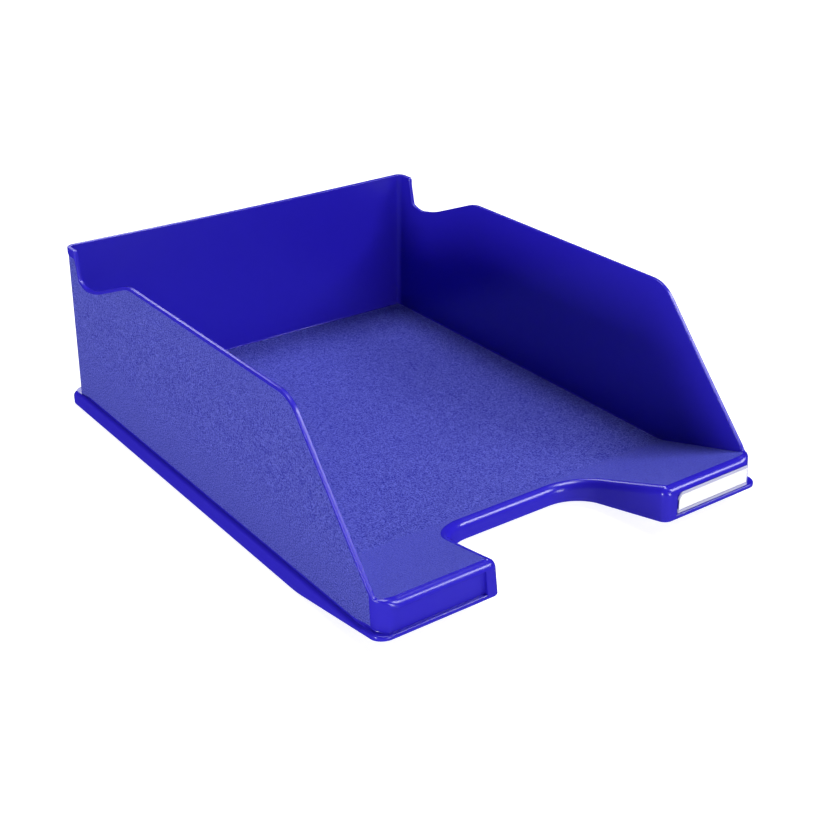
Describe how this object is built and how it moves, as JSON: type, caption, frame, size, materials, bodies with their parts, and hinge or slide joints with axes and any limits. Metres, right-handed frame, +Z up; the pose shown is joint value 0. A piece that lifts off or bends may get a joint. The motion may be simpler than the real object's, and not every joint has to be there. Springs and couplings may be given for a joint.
{
  "type": "letter tray",
  "caption": "High-sided A4 letter tray with swept side walls, raised front nibs round a finger notch, a bottom flange and a clear slide-out label holder.",
  "frame": {"origin": "on the table, under the middle of the tray's outline", "axes": "+Z up, +Y along the tray's length towards its closed back wall, +X to the right seen from the front"},
  "size_m": [0.255, 0.346, 0.107],
  "materials": {
    "tray_plastic": "gloss",
    "clear_plastic": "gloss",
    "card": "matte"
  },
  "bodies": {
    "tray": {"tray_body": "tray_plastic"},
    "holder": {"label_holder": "clear_plastic"},
    "card": {"label_card": "card"}
  },
  "joints": [
    {"name": "holder_slide", "type": "slide", "parent": "tray", "child": "holder", "axis": [1, 0, 0], "range_m": [0, 0.065]},
    {"name": "card_slide", "type": "slide", "parent": "holder", "child": "card", "axis": [1, 0, 0], "range_m": [0, 0.065]}
  ]
}
